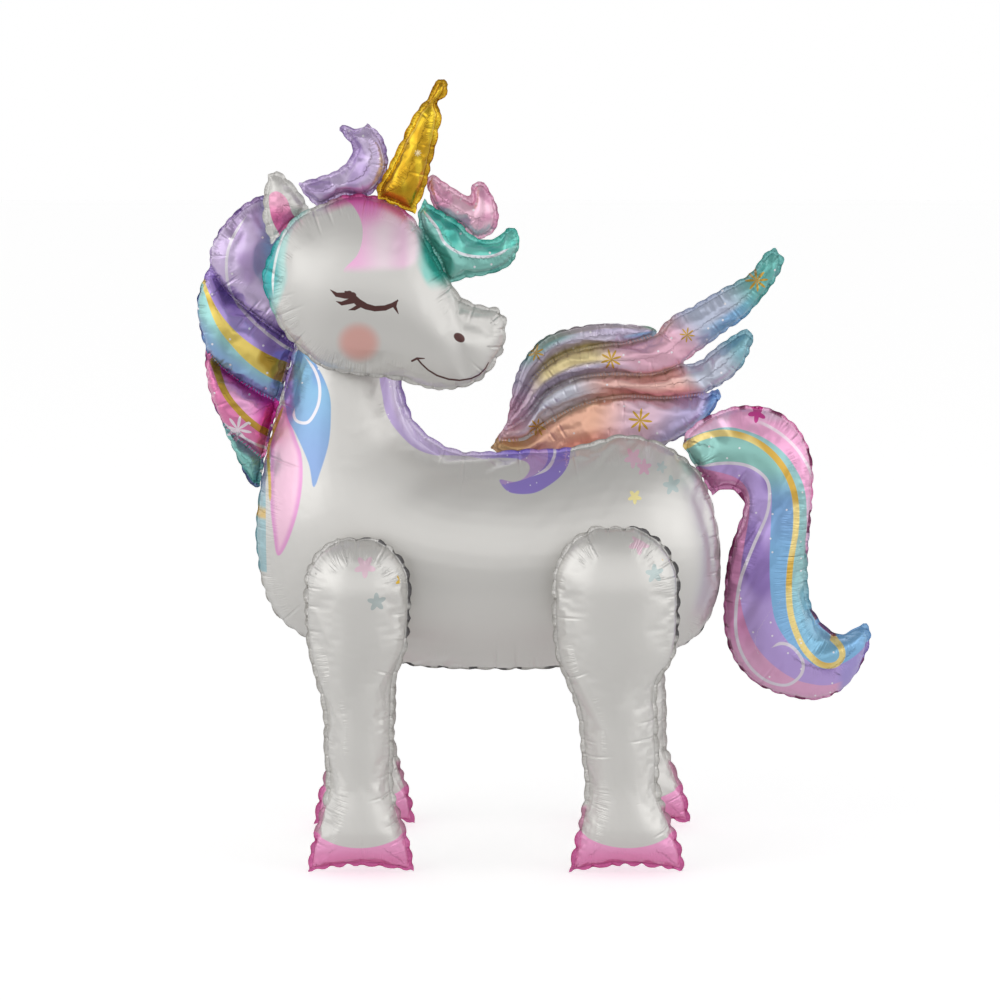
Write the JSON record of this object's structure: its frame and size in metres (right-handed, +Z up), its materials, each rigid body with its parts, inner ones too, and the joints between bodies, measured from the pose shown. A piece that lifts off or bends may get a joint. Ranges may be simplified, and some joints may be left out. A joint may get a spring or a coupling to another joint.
{
  "type": "standing foil balloon",
  "caption": "Standing foil balloon shaped as a winged unicorn: sealed film chambers with scalloped seams, a head that tilts, a wing that flaps and a tail that sways.",
  "frame": {"origin": "on the floor, under the middle of the whole part", "axes": "+X from the chest to the tail, +Y from the side with the face to the side with the wing, +Z up"},
  "size_m": [0.958, 0.4328, 1.1],
  "materials": {
    "white_film": "satin metallised film",
    "leg_film": "satin metallised film",
    "head_film": "satin metallised film, printed face",
    "ear_film": "satin metallised film",
    "mane_film": "satin metallised film, pastel bands",
    "gold_film": "glossy metallised film",
    "lilac_film": "satin metallised film",
    "pink_film": "satin metallised film",
    "teal_film": "satin metallised film",
    "wing_film": "satin metallised film, pastel bands",
    "tail_film": "satin metallised film, pastel stripes",
    "valve_film": "clear film",
    "adhesive_foam": "white foam"
  },
  "bodies": {
    "body": {"body_near_panel": "white_film", "body_far_panel": "white_film", "body_valve": "valve_film", "fore_leg_near_outer_panel": "leg_film", "fore_leg_near_inner_panel": "leg_film", "fore_leg_near_valve": "valve_film", "fore_leg_far_outer_panel": "leg_film", "fore_leg_far_inner_panel": "leg_film", "fore_leg_far_valve": "valve_film", "hind_leg_near_outer_panel": "leg_film", "hind_leg_near_inner_panel": "leg_film", "hind_leg_near_valve": "valve_film", "hind_leg_far_outer_panel": "leg_film", "hind_leg_far_inner_panel": "leg_film", "hind_leg_far_valve": "valve_film", "mane_near_panel": "mane_film", "mane_far_panel": "mane_film", "mane_valve": "valve_film", "leg_pads": "adhesive_foam", "head_pad": "adhesive_foam", "mane_dots": "adhesive_foam", "wing_pads": "adhesive_foam", "tail_dots": "adhesive_foam"},
    "head": {"head_near_panel": "head_film", "head_far_panel": "head_film", "head_valve": "valve_film", "horn_near_panel": "gold_film", "horn_far_panel": "gold_film", "horn_valve": "valve_film", "lilac_forelock_near_panel": "lilac_film", "lilac_forelock_far_panel": "lilac_film", "lilac_forelock_valve": "valve_film", "pink_forelock_near_panel": "pink_film", "pink_forelock_far_panel": "pink_film", "pink_forelock_valve": "valve_film", "teal_forelock_near_panel": "teal_film", "teal_forelock_far_panel": "teal_film", "teal_forelock_valve": "valve_film", "ear_near_panel": "ear_film", "ear_far_panel": "ear_film", "ear_valve": "valve_film", "crest_dots": "adhesive_foam"},
    "wing": {"wing_near_panel": "wing_film", "wing_far_panel": "wing_film", "wing_valve": "valve_film"},
    "tail": {"tail_near_panel": "tail_film", "tail_far_panel": "tail_film", "tail_valve": "valve_film"}
  },
  "joints": [
    {"name": "head_tilt", "type": "hinge", "parent": "body", "child": "head", "pos_m": [-0.268, -0.065, 0.742], "axis": [0, 1, 0], "range_deg": [-5, 5]},
    {"name": "wing_flap", "type": "hinge", "parent": "body", "child": "wing", "pos_m": [0.06, 0.059, 0.556], "axis": [-0.9903, 0, -0.139], "range_deg": [-1, 28], "stiffness_Nm_per_rad": 0.15},
    {"name": "tail_sway", "type": "hinge", "parent": "body", "child": "tail", "pos_m": [0.2306, 0.0024, 0.5466], "axis": [-0.5163, 0, 0.8564], "range_deg": [-15, 15], "stiffness_Nm_per_rad": 0.1}
  ]
}
